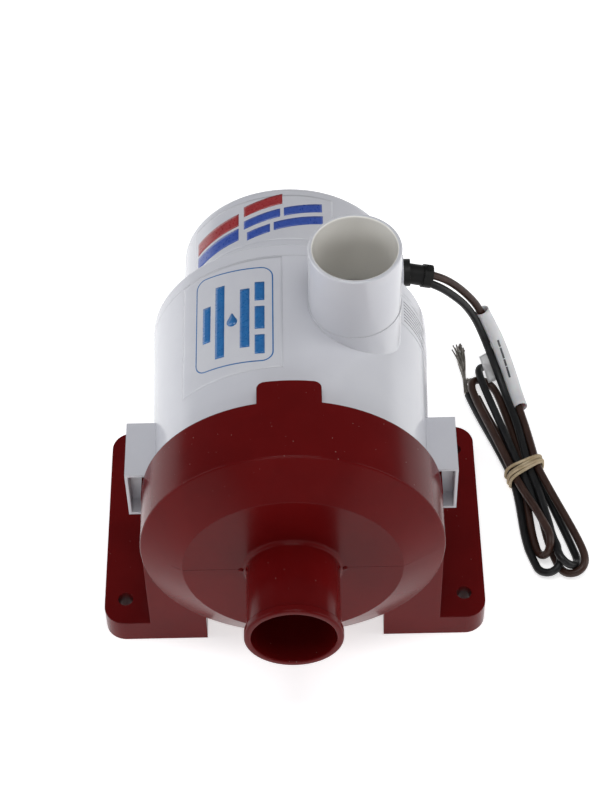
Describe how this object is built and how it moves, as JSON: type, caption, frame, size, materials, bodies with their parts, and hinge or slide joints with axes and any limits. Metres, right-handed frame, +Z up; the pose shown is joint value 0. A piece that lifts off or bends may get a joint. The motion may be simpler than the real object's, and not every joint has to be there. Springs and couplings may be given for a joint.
{
  "type": "bilge pump",
  "caption": "Horizontal centrifugal boat pump: front cover with inlet spigot and mounting feet, housing with upright discharge spigot, sealed motor cap and bundled bare-ended leads.",
  "frame": {"origin": "middle of the mounting holes' rectangle, on the surface that the feet stand on", "axes": "+Z up, +Y from the inlet towards the motor cap along the pump's axis, +X to the side that the discharge and the leads are on"},
  "size_m": [0.2125, 0.2055, 0.158],
  "materials": {
    "red_abs": "polished",
    "white_abs": "polished",
    "inner_plastic": "satin",
    "impeller_plastic": "satin",
    "nitrile": "matte",
    "black_plastic": "satin",
    "stainless": "satin",
    "can_steel": "satin",
    "core_steel": "matte",
    "die_cast": "as cast",
    "bronze": "satin",
    "copper": "enamelled",
    "ferrite": "matte",
    "carbon": "matte",
    "brown_pvc": "satin",
    "black_pvc": "satin",
    "sleeve_plastic": "satin",
    "band_rubber": "matte",
    "tinned_copper": "stranded"
  },
  "bodies": {
    "pump": {"base_cover": "red_abs", "pump_housing": "white_abs", "housing_o_ring": "nitrile", "suction_plate": "inner_plastic", "diffuser": "inner_plastic", "motor_canister": "inner_plastic", "canister_o_ring": "nitrile", "shaft_seals": "nitrile", "front_end_plate": "die_cast", "front_bush": "bronze", "flux_can": "can_steel", "magnets": "ferrite", "brushes": "carbon", "brush_springs": "stainless", "brush_holders": "bronze", "rear_end_bell": "die_cast", "rear_bush": "bronze", "through_bolts": "stainless", "terminals": "bronze", "internal_lead_brown": "brown_pvc", "internal_lead_black": "black_pvc", "motor_cap": "white_abs", "cable_grommet": "nitrile", "grommet_clamp": "black_plastic", "lead_brown": "brown_pvc", "lead_black": "black_pvc", "lead_hank": "black_pvc", "label_sleeve": "sleeve_plastic", "rubber_band": "band_rubber", "bare_ends": "tinned_copper"},
    "rotor": {"shaft": "stainless", "impeller": "impeller_plastic", "impeller_washer": "stainless", "impeller_screw": "stainless", "slinger": "nitrile", "thrust_washers": "stainless", "armature_core": "core_steel", "windings": "copper", "commutator": "copper"},
    "latch_left": {"latch_finger_left": "red_abs"},
    "latch_right": {"latch_finger_right": "red_abs"}
  },
  "joints": [
    {"name": "rotor_spin", "type": "hinge", "parent": "pump", "child": "rotor", "pos_m": [0, 0, 0.066], "axis": [0, 1, 0], "continuous": true},
    {"name": "latch_left_flex", "type": "hinge", "parent": "pump", "child": "latch_left", "pos_m": [-0.0608, -0.03, 0.066], "axis": [0, 0, -1], "range_deg": [0, 6], "stiffness_Nm_per_rad": 1.5},
    {"name": "latch_right_flex", "type": "hinge", "parent": "pump", "child": "latch_right", "pos_m": [0.0608, -0.03, 0.066], "axis": [0, 0, 1], "range_deg": [0, 6], "stiffness_Nm_per_rad": 1.5}
  ]
}
